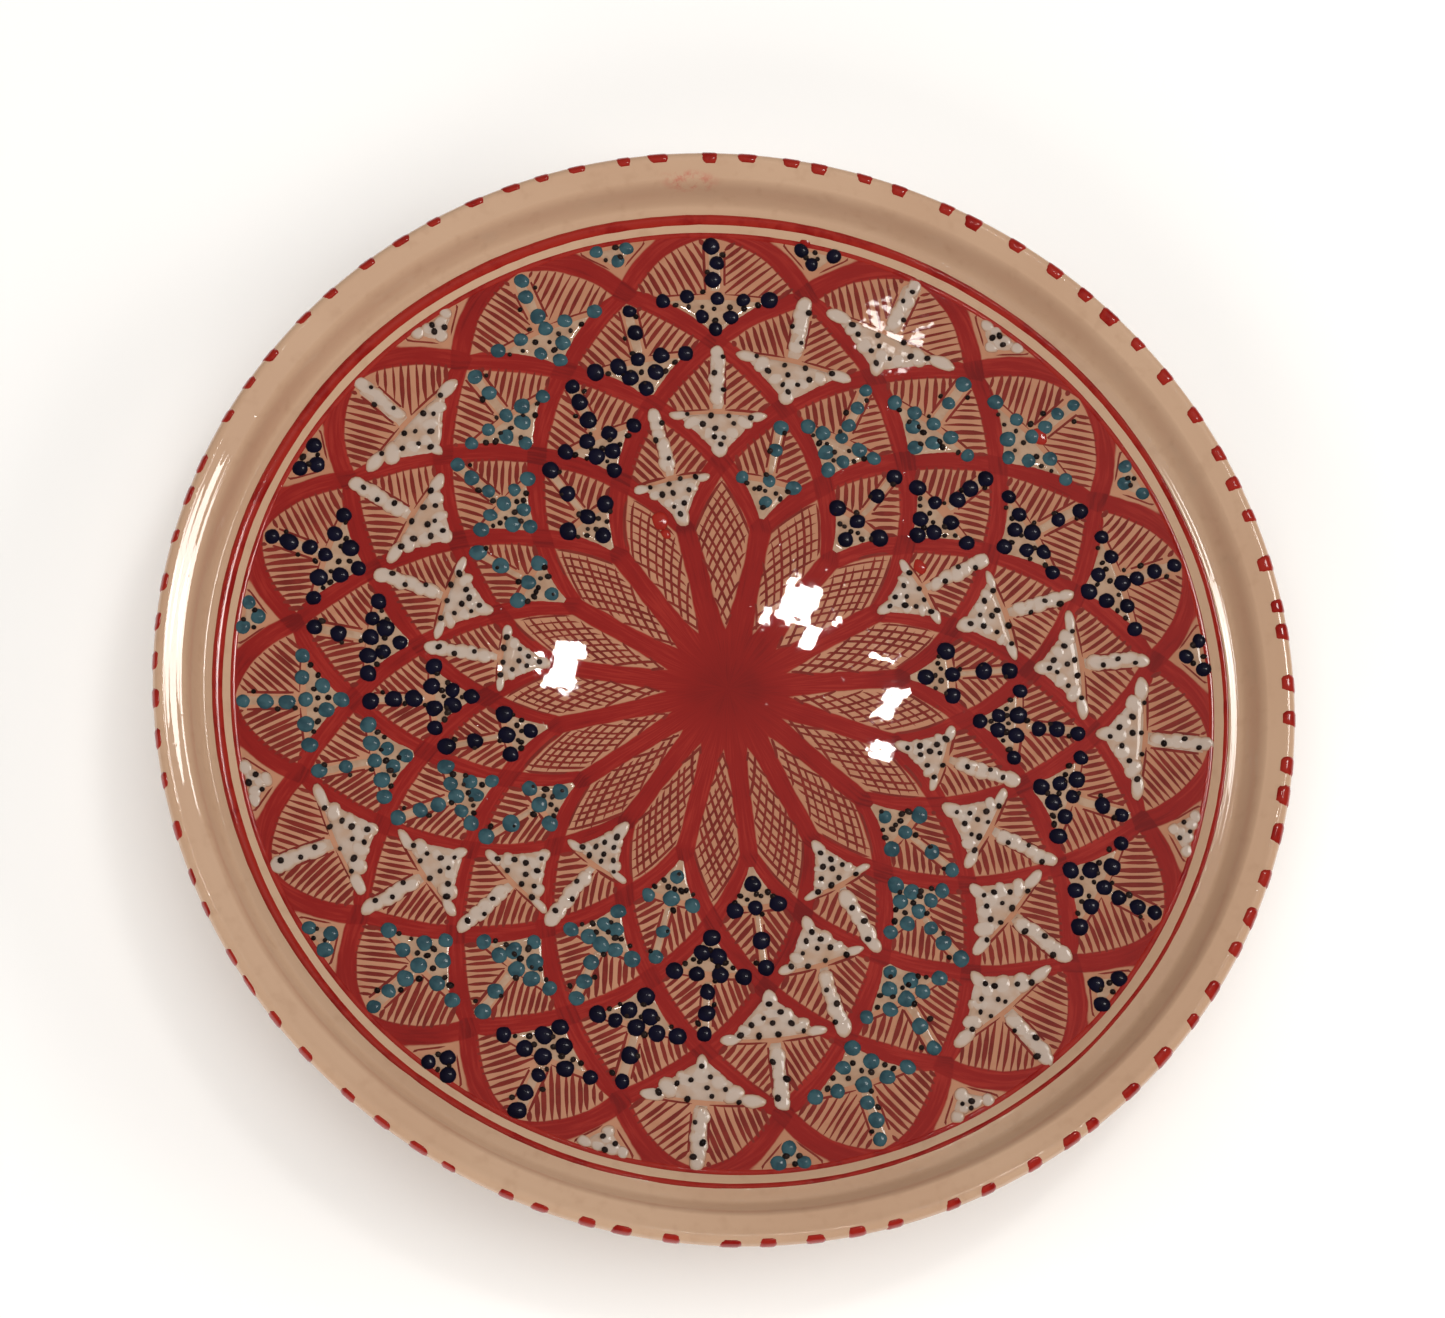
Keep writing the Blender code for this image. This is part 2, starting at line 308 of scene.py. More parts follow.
def paintedGlaze():
    # Cream glaze with the red net: two families of arms that cross on the way to the hub
    material, tree, shader = glossyMaterial("paintedGlaze", 0.34, 0.85)
    point = objectPoint(tree)
    pattern = addNode(tree, "ShaderNodeSeparateXYZ", {
        "Vector": addNode(tree, "ShaderNodeUVMap", uv_map="pattern").outputs["UV"]})
    arm, depth = pattern.outputs["X"], pattern.outputs["Y"]
    gap = addNode(tree, "ShaderNodeAttribute", attribute_name="armGap").outputs["Fac"]
    held = maths(tree, "MINIMUM", depth, net["petalRow"])
    arch = maths(tree, "POWER", maths(tree, "MINIMUM", held, 1.0), net["archPower"])
    spread = maths(tree, "ADD", arch, maths(tree, "MAXIMUM", maths(tree, "SUBTRACT", held, 1.0), 0.0))
    half = maths(tree, "MULTIPLY", spread, 0.5)
    wander = maths(tree, "MULTIPLY", maths(tree, "SUBTRACT", noiseValue(tree, point, 22.0, 1.0), 0.5),
                   0.10)
    steady = maths(tree, "ADD", arm, wander)
    left = maths(tree, "SUBTRACT", steady, half)
    right = maths(tree, "ADD", steady, half)
    # Lines thicken towards the hub, until only points of cream are left
    inner = maths(tree, "MAXIMUM", maths(tree, "SUBTRACT", depth, net["petalRow"]), 0.0)
    swell = maths(tree, "MULTIPLY", maths(tree, "POWER", maths(tree, "DIVIDE", inner, 1.5), 4.0), 0.8)
    halfWidth = maths(tree, "ADD", swell, net["armHalfWidth"])
    edge = maths(tree, "MULTIPLY", maths(tree, "SUBTRACT", noiseValue(tree, point, 130.0, 3.0), 0.5),
                 1.1)
    coverLeft = armCover(tree, left, gap, halfWidth, edge)
    coverRight = armCover(tree, right, gap, halfWidth, edge)
    hub = ramp(tree, depth, net["hubFrom"], net["hubFull"])
    cover = maths(tree, "MAXIMUM", maths(tree, "MAXIMUM", coverLeft, coverRight), hub)
    # Density: streaks along each brush line, a deeper tone where lines cross and at the hub
    streaks = []
    for across in (left, right):
        brush = addNode(tree, "ShaderNodeCombineXYZ", {
            "X": maths(tree, "MULTIPLY", across, 26.0), "Y": maths(tree, "MULTIPLY", depth, 1.6)})
        streaks.append(noiseValue(tree, brush.outputs["Vector"], 1.0, 3.0, 0.6))
    streakMix = addNode(tree, "ShaderNodeMix", data_type="FLOAT")
    for index, value in ((0, coverRight), (2, streaks[0]), (3, streaks[1])):
        tree.links.new(value, streakMix.inputs[index])
    crossing = maths(tree, "MULTIPLY", maths(tree, "MULTIPLY", coverLeft, coverRight),
                     ramp(tree, depth, 4.95, 5.1, 1.0, 0.0))
    pool = noiseValue(tree, point, 45.0, 2.0)
    density = maths(tree, "ADD", ramp(tree, streakMix.outputs[0], 0.3, 0.75, 0.2, 0.65),
                    maths(tree, "MULTIPLY", crossing, 0.32))
    density = maths(tree, "ADD", density, ramp(tree, pool, 0.45, 0.75, 0.0, 0.3))
    density = maths(tree, "ADD", density, ramp(tree, depth, 6.3, 7.2, 0.0, 0.35))
    wellTone = creamTone(tree, point, "wellPale", "wellCream", "wellDeep")
    tone = blendColour(tree, cover, wellTone, redTone(tree, density))
    tree.links.new(tone, shader.inputs["Base Color"])
    glazeSkin(tree, shader, point)
    return material


def raisedSlip(name, light, deep, roughness=0.3, coat=0.6):
    material, tree, shader = glossyMaterial(name, roughness, coat)
    point = objectPoint(tree)
    tone = blendColour(tree, ramp(tree, noiseValue(tree, point, 320.0, 2.0), 0.35, 0.7), light, deep)
    tree.links.new(tone, shader.inputs["Base Color"])
    glazeSkin(tree, shader, point, 0.12, 0.0)
    return material


def whiteSlip():
    # Milk is 0 on the cream ground and 1 on top of a white daub
    material, tree, shader = glossyMaterial("whiteSlip", 0.35, 0.4)
    point = objectPoint(tree)
    milk = addNode(tree, "ShaderNodeAttribute", attribute_name="milk").outputs["Fac"]
    cloudy = maths(tree, "ADD", milk, maths(tree, "SUBTRACT", noiseValue(tree, point, 240.0, 2.0), 0.5))
    tone = blendColour(tree, ramp(tree, cloudy, 0.15, 0.75), finish["blush"], finish["milk"])
    tone = blendColour(tree, ramp(tree, milk, 0.0, 0.2), finish["milkEdge"], tone)
    tree.links.new(tone, shader.inputs["Base Color"])
    glazeSkin(tree, shader, point, 0.2, 0.0)
    return material


def bareClay():
    material = bpy.data.materials.new("bareClay")
    material.use_nodes = True
    tree = material.node_tree
    shader = tree.nodes["Principled BSDF"]
    shader.inputs["Roughness"].default_value = 0.82
    point = objectPoint(tree)
    grain = noiseValue(tree, point, 900.0, 4.0, 0.7)
    tone = blendColour(tree, ramp(tree, grain, 0.35, 0.7), finish["clay"], finish["clayDeep"])
    stain = ramp(tree, noiseValue(tree, point, 40.0, 3.0), 0.5, 0.75, 0.0, 0.5)
    tree.links.new(blendColour(tree, stain, tone, finish["creamPale"]), shader.inputs["Base Color"])
    rings = addNode(tree, "ShaderNodeTexWave", {"Vector": point, "Scale": 420.0, "Distortion": 1.2},
                    wave_type="RINGS", rings_direction="Z")
    height = maths(tree, "ADD", grain, maths(tree, "MULTIPLY", rings.outputs["Fac"], 0.6))
    bump = addNode(tree, "ShaderNodeBump", {"Height": height, "Strength": 0.5, "Distance": 0.0002})
    tree.links.new(bump.outputs["Normal"], shader.inputs["Normal"])
    return material


materials = {
    "glaze": creamGlaze(), "painted": paintedGlaze(), "red": redSlip(), "hatch": hatchSlip(),
    "navy": raisedSlip("navySlip", finish["navy"], finish["navyDeep"], 0.4, 0.25),
    "teal": raisedSlip("tealSlip", finish["teal"], finish["tealDeep"], 0.4, 0.25),
    "black": raisedSlip("blackSlip", finish["black"], finish["blackDeep"], 0.4, 0.25),
    "ground": raisedSlip("creamSlip", finish["ground"], finish["groundDeep"], 0.32),
    "white": whiteSlip(), "clay": bareClay(),
}
print("finishes mixed:", len(materials))


# ---- the thrown form

def floorHeight(radius):
    share = radius / plateForm["floorRadius"]
    return plateForm["floorCentre"] + plateForm["floorRise"] * share ** plateForm["floorPower"]


def floorSlope(radius):
    share = radius / plateForm["floorRadius"]
    power = plateForm["floorPower"]
    return plateForm["floorRise"] * power / plateForm["floorRadius"] * share ** (power - 1)


def onFloor(radius, turn, lift=0.0):
    # A point raised from the painted floor along the floor's own normal
    slope = floorSlope(radius)
    length = math.hypot(1.0, slope)
    reach = radius - lift * slope / length
    return Vector((reach * math.cos(turn), reach * math.sin(turn), floorHeight(radius) + lift / length))


def smoothSection(points, steps):
    # A rounded line through the section's points
    result = []
    for k in range(len(points) - 1):
        before, start = points[max(k - 1, 0)], points[k]
        end, after = points[k + 1], points[min(k + 2, len(points) - 1)]
        for step in range(steps):
            t = step / steps
            result.append(tuple(
                0.5 * (2 * s + (e - b) * t + (2 * b - 5 * s + 4 * e - a) * t * t
                       + (3 * s - b - 3 * e + a) * t ** 3)
                for b, s, e, a in zip(before, start, end, after)))
    result.append(points[-1])
    return result


def wobbleAt(radius, turn):
    # The lip wanders a little, as a thrown one does; the painted floor stays true
    share = min(max((radius - 126.0) / 8.0, 0.0), 1.0)
    sway = noise.noise(Vector((math.cos(turn) * 2.2, math.sin(turn) * 2.2, radius * 0.06)))
    return plateForm["handWobble"] * share * sway


def turnedPoint(radius, height, turn):
    return Vector((radius * math.cos(turn), radius * math.sin(turn), height + wobbleAt(radius, turn)))


def latheRings(section, steps):
    vertices = [turnedPoint(r, z, 2 * math.pi * k / steps) for r, z in section for k in range(steps)]
    faces = []
    for ring in range(len(section) - 1):
        for k in range(steps):
            after = (k + 1) % steps
            faces.append((ring * steps + k, (ring + 1) * steps + k,
                          (ring + 1) * steps + after, ring * steps + after))
    return vertices, faces


def makeBody():
    steps = plateForm["turnSteps"]
    # Under the painted skin the clay floor lies a little lower
    floor = [(r, floorHeight(r) - 0.4) for r in (6, 30, 60, 90, 105, 114, 119)]
    edge = [(121.9, floorHeight(121.9))]
    rim = smoothSection(edge + plateForm["shoulder"] + plateForm["lip"], 5)
    under = smoothSection([plateForm["lip"][-1]] + plateForm["underside"], 4)[1:]
    section = floor + rim + under
    vertices, faces = latheRings(section, steps)
    top, bottom = len(vertices), len(vertices) + 1
    vertices += [Vector((0, 0, floorHeight(0) - 0.4)), Vector((0, 0, plateForm["baseHeight"]))]
    last = (len(section) - 1) * steps
    for k in range(steps):
        faces.append((top, k, (k + 1) % steps))
        faces.append((bottom, last + (k + 1) % steps, last + k))
    return newObject("plateBody", vertices, faces, material=materials["glaze"])


def makeFoot():
    # The foot ring: turned and trimmed, with soft edges and a flat resting face
    outer, low = footHigh.x / mm, footLow.z / mm
    top = plateForm["baseHeight"]
    inner = outer - 12.0
    section = [(outer, top), (outer - 1.2, 5.2), (outer - 1.9, 1.9), (outer - 2.4, low + 0.7),
               (outer - 3.2, low), (inner + 3.2, low), (inner + 2.4, low + 0.7),
               (inner + 1.9, 1.9), (inner + 1.2, 5.2), (inner, top)]
    vertices, faces = latheRings(section + [section[0]], 192)
    return newObject("footRing", vertices, faces, material=materials["clay"])


# ---- where things are in the painted net

def rowRadius(row):
    return net["borderRadius"] - net["rowStep"] * row - net["rowGrowth"] * row * row


def drifted(turn):
    # The painter's spacing drifts round the plate
    drift = (net["driftCos"] * math.cos(turn) + net["driftSin"] * math.sin(turn)
             + net["driftTwice"] * math.sin(2 * turn))
    return turn + math.radians(drift)


def cellTurn(arm, row):
    return net["firstArm"] - 2 * arm * halfStep + row * halfStep


def cellPoint(turn, firstRow, side, row, lift=0.0):
    # side is in half steps from the cell's middle, and row counts inward from its top
    return onFloor(rowRadius(firstRow + row), drifted(turn + side * halfStep), lift)


def armGap(depth):
    # Distance between neighbouring lines of one family, square to the lines
    radius = max(rowRadius(depth), 0.5)
    power = net["archPower"]
    if depth < 1.0:
        spread = power * max(depth, 0.02) ** (power - 1)
    else:
        spread = 1.0 if depth < net["petalRow"] else 0.0
    down = 0.5 * spread / (net["rowStep"] + 2 * net["rowGrowth"] * depth)
    return 1.0 / math.hypot(1.0 / (2 * halfStep * radius), down)


def planOf(firstRow, side, row):
    # A place in a cell as a flat point: x to the right of the cell, y outward
    radius = rowRadius(firstRow + row)
    return Vector((-radius * math.sin(side * halfStep), radius * math.cos(side * halfStep)))


def planPoint(turn, flat, lift=0.0):
    offset = math.atan2(flat.x, flat.y)
    return onFloor(flat.length, drifted(turn - offset), lift)


def surfaceLean(point, spin):
    # Euler angles that stand something square on the floor, turned by spin
    radius = math.hypot(point.x, point.y)
    slope = floorSlope(radius)
    up = Vector((-slope * point.x, -slope * point.y, max(radius, 0.01))).normalized()
    tilt = Vector((0, 0, 1)).rotation_difference(up).to_matrix()
    return (tilt @ Matrix.Rotation(spin, 3, "Z")).to_euler()


skin = {"outer": 122.3, "span": 121.9, "rings": 110, "lift": 0.06, "middleGap": 0.4}


def makePaintedWell():
    # The painted floor as a skin of glaze; its map counts arms round and rows inward
    steps, rings = plateForm["turnSteps"], skin["rings"]
    radii = [skin["outer"] - skin["span"] * k / rings for k in range(rings + 1)]
    step, growth = net["rowStep"], net["rowGrowth"]
    depths = []
    for radius in radii:
        # The row at which rowRadius gives this radius
        depths.append((-step + math.sqrt(step * step + 4 * growth * (net["borderRadius"] - radius)))
                      / (2 * growth))
    vertices = []
    for radius in radii:
        for k in range(steps):
            turn = drifted(net["firstArm"] + 2 * math.pi * k / steps)
            vertices.append(onFloor(radius, turn, skin["lift"]))
    faces, corners = [], []
    for ring in range(rings):
        for k in range(steps):
            after = (k + 1) % steps
            faces.append((ring * steps + k, ring * steps + after,
                          (ring + 1) * steps + after, (ring + 1) * steps + k))
            corners += [(k, ring), (k + 1, ring), (k + 1, ring + 1), (k, ring + 1)]
    middle = len(vertices)
    vertices.append(onFloor(0.0, 0.0, skin["lift"]))
    for k in range(steps):
        faces.append((rings * steps + k, rings * steps + (k + 1) % steps, middle))
        corners += [(k, rings), (k + 1, rings), (k + 0.5, rings)]
    faces = [face[::-1] for face in faces]
    well = newObject("paintedWell", vertices, faces, material=materials["painted"])
    pattern = well.data.uv_layers.new(name="pattern")
    # The faces were turned over, so each one's corners are read backwards
    place, ordered = 0, []
    for face in faces:
        ordered += corners[place:place + len(face)][::-1]
        place += len(face)
    for loop, (k, ring) in enumerate(ordered):
        pattern.data[loop].uv = (k * net["arms"] / steps, max(depths[ring], 0.0))
    gaps = [armGap(max(depths[ring], 0.0)) for ring in range(rings + 1) for k in range(steps)]
    giveAttribute(well, "armGap", "FLOAT", gaps + [skin["middleGap"]])
    return well


def brushedRing(name, section, inner, outer, wander, material, seed):
    # A ring drawn with a brush: its two edges wander between the widths given by turn
    steps, across = 256, 6
    profile = []
    for k in range(steps):
        turn = 2 * math.pi * k / steps
        sway = noise.noise(Vector((math.cos(turn) * 5, math.sin(turn) * 5, seed))) * wander
        fine = noise.noise(Vector((math.cos(turn) * 30, math.sin(turn) * 30, seed))) * wander * 0.5
        profile.append((turn, inner(turn) + sway + fine, outer(turn) + sway - fine))
    vertices, faces = [], []
    for turn, low, high in profile:
        for step in range(across + 1):
            share = step / across
            radius = low + (high - low) * share
            lift = 0.20 * math.sqrt(max(1 - (2 * share - 1) ** 2, 0.0)) - 0.04
            point = turnedPoint(radius, section(radius) + lift, turn)
            vertices.append(point)
        for share in (1.0, 0.0):
            radius = low + (high - low) * share
            vertices.append(turnedPoint(radius, section(radius) - 0.2, turn))
    around = across + 3
    for k in range(steps):
        after = (k + 1) % steps
        for step in range(around):
            beside = (step + 1) % around
            faces.append((k * around + step, k * around + beside,
                          after * around + beside, after * around + step))
    return newObject(name, vertices, faces, material=material)


# ---- trees that repeat small shapes

def dropTree():
    # Sets a low dome on every point, by the point's own size and lean
    tree = bpy.data.node_groups.new("setDrops", "GeometryNodeTree")
    treeInput(tree, "Geometry", "NodeSocketGeometry")
    treeInput(tree, "Sides", "NodeSocketInt", 12)
    treeInput(tree, "Rings", "NodeSocketInt", 6)
    treeInput(tree, "Uneven", "NodeSocketFloat", 0.0)
    treeInput(tree, "Finish", "NodeSocketMaterial")
    tree.interface.new_socket("Geometry", in_out="OUTPUT", socket_type="NodeSocketGeometry")
    given = addNode(tree, "NodeGroupInput").outputs
    dome = addNode(tree, "GeometryNodeMeshUVSphere", {"Segments": given["Sides"],
                                                      "Rings": given["Rings"], "Radius": 1.0})
    height = addNode(tree, "ShaderNodeSeparateXYZ", {
        "Vector": addNode(tree, "GeometryNodeInputPosition").outputs[0]})
    steep = addNode(tree, "ShaderNodeMath", {0: height.outputs["Z"], 1: 1.6}, operation="POWER")
    marked = addNode(tree, "GeometryNodeStoreNamedAttribute", {
        "Geometry": dome.outputs["Mesh"], "Name": "milk", "Value": steep.outputs[0]},
        data_type="FLOAT", domain="POINT")
    lean = addNode(tree, "GeometryNodeInputNamedAttribute", {"Name": "lean"}, data_type="FLOAT_VECTOR")
    size = addNode(tree, "GeometryNodeInputNamedAttribute", {"Name": "size"}, data_type="FLOAT_VECTOR")
    placed = addNode(tree, "GeometryNodeInstanceOnPoints", {
        "Points": given["Geometry"], "Instance": marked.outputs[0],
        "Rotation": lean.outputs[0], "Scale": size.outputs[0]})
    real = addNode(tree, "GeometryNodeRealizeInstances", {"Geometry": placed.outputs[0]})
    # An uneven edge, so that no two drops are alike
    where = addNode(tree, "GeometryNodeInputPosition")
    ripple = addNode(tree, "ShaderNodeTexNoise", {"Vector": where.outputs[0], "Scale": 330.0,
                                                  "Detail": 1.0})
    shift = addNode(tree, "ShaderNodeVectorMath", {0: ripple.outputs["Color"], 1: (0.5, 0.5, 0.5)},
                    operation="SUBTRACT")
    flat = addNode(tree, "ShaderNodeVectorMath", {0: shift.outputs[0], 1: (1.0, 1.0, 0.15)},
                   operation="MULTIPLY")
    scaled = addNode(tree, "ShaderNodeVectorMath", {0: flat.outputs[0], "Scale": given["Uneven"]},
                     operation="SCALE")
    moved = addNode(tree, "GeometryNodeSetPosition", {"Geometry": real.outputs[0],
                                                      "Offset": scaled.outputs[0]})
    smooth = addNode(tree, "GeometryNodeSetShadeSmooth", {"Geometry": moved.outputs[0]})
    painted = addNode(tree, "GeometryNodeSetMaterial", {"Geometry": smooth.outputs[0],
                                                        "Material": given["Finish"]})
    out = addNode(tree, "NodeGroupOutput")
    tree.links.new(painted.outputs[0], out.inputs[0])
    return tree


def strokeTree():
    # Draws a low flat ribbon along every line, as wide as the line's own points say
    tree = bpy.data.node_groups.new("drawStrokes", "GeometryNodeTree")
    treeInput(tree, "Geometry", "NodeSocketGeometry")
    treeInput(tree, "Fullness", "NodeSocketFloat", 0.35)
    treeInput(tree, "Finish", "NodeSocketMaterial")
    tree.interface.new_socket("Geometry", in_out="OUTPUT", socket_type="NodeSocketGeometry")
    given = addNode(tree, "NodeGroupInput").outputs
    line = addNode(tree, "GeometryNodeMeshToCurve", {"Mesh": given["Geometry"]})
    upright = addNode(tree, "GeometryNodeSetCurveNormal", {"Curve": line.outputs[0]}, mode="Z_UP")
    width = addNode(tree, "GeometryNodeInputNamedAttribute", {"Name": "halfWidth"}, data_type="FLOAT")
    sized = addNode(tree, "GeometryNodeSetCurveRadius", {"Curve": upright.outputs[0],
                                                         "Radius": width.outputs[0]})
    outline = addNode(tree, "GeometryNodeCurvePrimitiveQuadrilateral", {
        "Bottom Width": 1.8, "Top Width": 1.8, "Height": given["Fullness"], "Offset": 0.0},
        mode="TRAPEZOID")
    ribbon = addNode(tree, "GeometryNodeCurveToMesh", {
        "Curve": sized.outputs[0], "Profile Curve": outline.outputs[0], "Fill Caps": True})
    if "Scale" in ribbon.inputs:
        tree.links.new(width.outputs[0], ribbon.inputs["Scale"])
    flat = addNode(tree, "GeometryNodeSetShadeSmooth", {"Geometry": ribbon.outputs[0],
                                                        "Shade Smooth": False})
    real = addNode(tree, "GeometryNodeRealizeInstances", {"Geometry": flat.outputs[0]})
    painted = addNode(tree, "GeometryNodeSetMaterial", {"Geometry": real.outputs[0],
                                                        "Material": given["Finish"]})
    out = addNode(tree, "NodeGroupOutput")
    tree.links.new(painted.outputs[0], out.inputs[0])
    return tree


setDrops, drawStrokes = dropTree(), strokeTree()


def makeDrops(name, drops, material, sides=12, rings=6, uneven=0.0):
    # drops is a list of (point, (width, length, height), spin)
    piece = newObject(name, [drop[0] for drop in drops], [])
    giveAttribute(piece, "size", "FLOAT_VECTOR", [Vector(drop[1]) * mm for drop in drops])
    giveAttribute(piece, "lean", "FLOAT_VECTOR", [surfaceLean(drop[0], drop[2]) for drop in drops])
    return runTree(piece, setDrops, {"Sides": sides, "Rings": rings, "Uneven": uneven * mm,
                                     "Finish": material})


def makeStrokes(name, strokes, material, fullness=0.35):
    # strokes is a list of (points, half width)
    vertices, edges, widths = [], [], []
    for points, halfWidth in strokes:
        start = len(vertices)
        for k, point in enumerate(points):
            ends = 0.55 if k in (0, len(points) - 1) else 1.0
            vertices.append(point)
            widths.append(halfWidth * ends * mm)
            if k:
                edges.append((start + k - 1, start + k))
    piece = newObject(name, vertices, [], edges)
    giveAttribute(piece, "halfWidth", "FLOAT", widths)
    return runTree(piece, drawStrokes, {"Fullness": fullness, "Finish": material})


# ---- the umbrellas, which hang in rows down each arm

umbrella = {
    "edgeRow": 1.2, "corner": 0.70, "tipRow": 1.88, "stemHalf": 0.085, "stemTop": 0.14,
    "navyDot": 2.1, "tealDot": 1.95, "navyHeight": 0.62, "tealHeight": 0.42,
    "filmLift": 0.09, "padLift": 0.18, "pin": 0.74,
    # dots down the stem, along the edge, below the edge and at the tip, row by row
    "stems": [[0.25, 0.57, 0.93], [0.34, 0.73], [0.30, 0.61, 0.92], [0.34, 0.74]],
    "edges": {"navy": [5, 5, 4, 3], "teal": [5, 5, 5, 3]},
    "second": [[-0.17, 0.17], [-0.16, 0.18], [-0.15, 0.15], [0.0]],
    "secondRow": [1.55, 1.45, 1.52, 1.58],
    "tips": [1.80, 1.72, 1.78, None],
    "spandrelDots": [(-0.15, 0.17), (0.15, 0.18), (0.0, 0.42)],
    "pins": [(-0.11, 0.43), (0.11, 0.76), (-0.46, 1.33), (0.46, 1.34), (-0.17, 1.36), (0.17, 1.38),
             (0.0, 1.62), (-0.32, 1.44), (0.31, 1.42), (0.01, 1.42), (0.1, 1.1)],
    "whitePins": [(-0.5, 1.26), (-0.2, 1.25), (0.1, 1.27), (0.46, 1.25), (-0.28, 1.42),
                  (0.04, 1.44), (0.3, 1.40), (-0.12, 1.58), (0.12, 1.60), (0.0, 1.74),
                  (-0.05, 0.30), (0.06, 0.56), (-0.05, 0.84)],
    "spandrelPins": [(0.0, 0.16), (-0.07, 0.31), (0.07, 0.31)],
    "stemDaubs": (0.20, 0.34, 0.49, 0.64, 0.80, 0.95),
    "spandrelDaubs": ((-0.19, 0.16), (0.19, 0.16), (-0.07, 0.21), (0.07, 0.2), (0.0, 0.44),
                      (0.0, 0.33)),
}


def closedPatch(vertices, faces, top, bottom, rows, columns):
    # A thin patch with a top, an underside and a wall round its edge
    base = len(vertices)
    count = rows * columns
    vertices += top + bottom
    for i in range(rows - 1):
        for j in range(columns - 1):
            a, b = base + i * columns + j, base + (i + 1) * columns + j
            faces.append((a, a + 1, b + 1, b))
            faces.append((count + b, count + b + 1, count + a + 1, count + a))
    rim = ([j for j in range(columns)] + [i * columns + columns - 1 for i in range(1, rows)]
           + [(rows - 1) * columns + j for j in range(columns - 2, -1, -1)]
           + [i * columns for i in range(rows - 2, 0, -1)])
    for k, here in enumerate(rim):
        there = rim[(k + 1) % len(rim)]
        faces.append((base + there, base + here, base + here + count, base + there + count))


def addField(shape, turn, firstRow, spans, lift, columns, rng):
    # spans is a list of (row, side from, side to); the patch rises a little inside its edge
    top, bottom = [], []
    for i, (row, low, high) in enumerate(spans):
        low, high = low + rng.uniform(-0.012, 0.012), high + rng.uniform(-0.012, 0.012)
        for j in range(columns):
            edge = i in (0, len(spans) - 1) or j in (0, columns - 1)
            side = low + (high - low) * j / (columns - 1)
            top.append(cellPoint(turn, firstRow, side, row, -0.02 if edge else lift))
            bottom.append(cellPoint(turn, firstRow, side, row, -0.15))
    closedPatch(*shape, top, bottom, len(spans), columns)


def umbrellaFields(shape, turn, row, lift, rng, fuller=1.0):
    stem, edge = umbrella["stemHalf"] * fuller, umbrella["edgeRow"]
    rows = [umbrella["stemTop"] + (edge - umbrella["stemTop"]) * k / 8 for k in range(9)]
    addField(shape, turn, row, [(r, -stem, stem) for r in rows], lift, 5, rng)
    spans, tip = [], umbrella["tipRow"]
    for k in range(9):
        share = k / 8
        half = umbrella["corner"] * (1 - share) ** (1.12 / fuller) + 0.03 * fuller
        spans.append((edge + (tip - edge) * share, -half, half))
    addField(shape, turn, row, spans, lift, 9, rng)


def spandrelField(shape, turn, lift, rng):
    spans = []
    for k in range(6):
        share = k / 5
        half = 0.27 * (1 - share) ** 0.9 + 0.02
        spans.append((0.11 + 0.38 * share, -half, half))
    addField(shape, turn, 0, spans, lift, 7, rng)


def jitterSpot(turn, row, side, depth, lift, rng, slack=0.02):
    return cellPoint(turn, row, side + rng.uniform(-slack, slack), depth + rng.uniform(-slack, slack),
                     lift)


def dottedArm(arm, colour, rng):
    size = umbrella[colour + "Dot"]
    height = umbrella[colour + "Height"]
    lift = umbrella["filmLift"]
    shape, drops = ([], []), []
    for row in range(net["umbrellaRows"]):
        turn = cellTurn(arm, row)
        umbrellaFields(shape, turn, row, lift, rng)
        count = umbrella["edges"][colour][row]
        reach = 0.60 if row < 3 else 0.52
        spots = [(0.0, depth) for depth in umbrella["stems"][row]]
        spots += [(reach * (2 * k / (count - 1) - 1), 1.22) for k in range(count)]
        spots += [(side, umbrella["secondRow"][row]) for side in umbrella["second"][row]]
        if umbrella["tips"][row]:
            spots.append((0.0, umbrella["tips"][row]))
        for side, depth in spots:
            grown = size * rng.uniform(0.88, 1.10)
            drops.append((jitterSpot(turn, row, side, depth, lift * 0.6, rng, 0.03),
                          (grown * rng.uniform(0.94, 1.1), grown, height * rng.uniform(0.85, 1.1)),
                          rng.uniform(0, math.pi)))
    turn = cellTurn(arm, 0) - halfStep
    spandrelField(shape, turn, lift, rng)
    for side, depth in umbrella["spandrelDots"]:
        grown = size * rng.uniform(0.82, 0.98)
        drops.append((jitterSpot(turn, 0, side, depth, lift * 0.6, rng, 0.03),
                      (grown * 1.08, grown, height * 0.9), rng.uniform(0, math.pi)))
    field = newObject(f"{colour}Field", *shape, material=materials["ground"])
    dots = makeDrops(f"{colour}Dots", drops, materials[colour], 14, 8, 0.9)
    return joinPieces(f"{colour}Arm{arm + 1:02d}", [field, dots])


